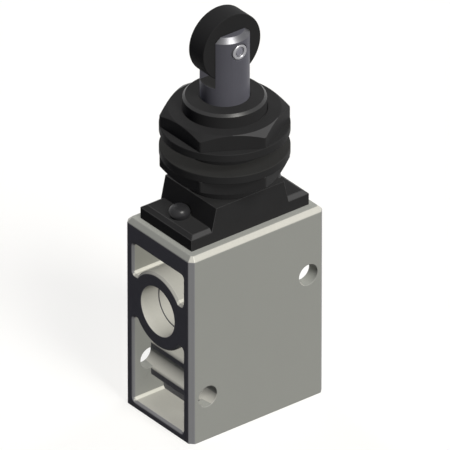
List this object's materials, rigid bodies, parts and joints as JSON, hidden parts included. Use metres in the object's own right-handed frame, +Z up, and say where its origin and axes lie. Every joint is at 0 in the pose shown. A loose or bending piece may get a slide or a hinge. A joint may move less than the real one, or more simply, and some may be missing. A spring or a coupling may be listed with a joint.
{
  "type": "roller plunger valve",
  "caption": "Small mechanical air valve with a die-cast ported body, a panel-mount sleeve with nuts, and a sprung plunger worked by a roller.",
  "frame": {"origin": "middle of the body's underside, on the plunger's axis", "axes": "+Z up along the plunger towards the roller, X along the body's wide face with the supply port at +X and the outlet port at -X, Y along the mounting holes and the roller's axle"},
  "size_m": [0.0282, 0.022, 0.0744],
  "materials": {
    "cast_aluminium": "fine matt blast over the casting",
    "black_finish": "satin black coat",
    "black_steel": "blackened, satin",
    "plunger_steel": "ground and hardened, dark",
    "axle_steel": "bright, rolled over at both ends",
    "roller_black": "matt moulded",
    "brass": "turned",
    "seal_rubber": "moulded rubber",
    "spring_steel": "drawn wire"
  },
  "bodies": {
    "housing": {"valve_body": "cast_aluminium", "bottom_plug": "brass", "plug_seal": "seal_rubber", "plug_retaining_ring": "spring_steel", "poppet_spring": "spring_steel", "stem_guide": "brass", "guide_seal": "seal_rubber", "stem_seal": "seal_rubber", "return_spring": "spring_steel", "head_block": "black_finish", "threaded_sleeve": "black_steel", "sleeve_wiper": "seal_rubber", "head_pin_left": "black_steel", "head_pin_right": "black_steel"},
    "plunger_unit": {"plunger": "plunger_steel", "roller_axle": "axle_steel", "valve_stem": "brass"},
    "roller_unit": {"roller": "roller_black"},
    "poppet_unit": {"poppet": "brass", "poppet_seal": "seal_rubber"},
    "lower_clamp": {"lower_washer": "black_steel"},
    "lower_nut_unit": {"lower_nut": "black_steel"},
    "upper_clamp": {"upper_washer": "black_steel"},
    "upper_nut_unit": {"upper_nut": "black_steel"}
  },
  "joints": [
    {"name": "plunger_press", "type": "slide", "parent": "housing", "child": "plunger_unit", "axis": [0, 0, -1], "range_m": [0, 0.003], "stiffness_N_per_m": 1500, "springref_m": -0.003, "deforming": ["return_spring"]},
    {"name": "roller_spin", "type": "hinge", "parent": "plunger_unit", "child": "roller_unit", "pos_m": [0, 0, 0.06845], "axis": [0, 1, 0], "continuous": true},
    {"name": "poppet_open", "type": "slide", "parent": "housing", "child": "poppet_unit", "axis": [0, 0, -1], "range_m": [0, 0.0023], "deforming": ["poppet_spring"]},
    {"name": "lower_clamp_lift", "type": "slide", "parent": "housing", "child": "lower_clamp", "axis": [0, 0, 1], "range_m": [-0.00211, 0.00121]},
    {"name": "lower_nut_turn", "type": "hinge", "parent": "lower_clamp", "child": "lower_nut_unit", "pos_m": [0, 0, 0.04617], "axis": [0, 0, 1], "range_deg": [-756, 432]},
    {"name": "upper_clamp_lift", "type": "slide", "parent": "housing", "child": "upper_clamp", "axis": [0, 0, 1], "range_m": [-0.00121, 0.00221]},
    {"name": "upper_nut_turn", "type": "hinge", "parent": "upper_clamp", "child": "upper_nut_unit", "pos_m": [0, 0, 0.05472], "axis": [0, 0, 1], "range_deg": [-432, 792]}
  ],
  "couplings": [
    {"joint": "poppet_open", "follows": "plunger_press", "ratio": 0.7666},
    {"joint": "lower_clamp_lift", "follows": "lower_nut_turn", "m_per_rad": 0.00015915},
    {"joint": "upper_clamp_lift", "follows": "upper_nut_turn", "m_per_rad": 0.00015915}
  ]
}
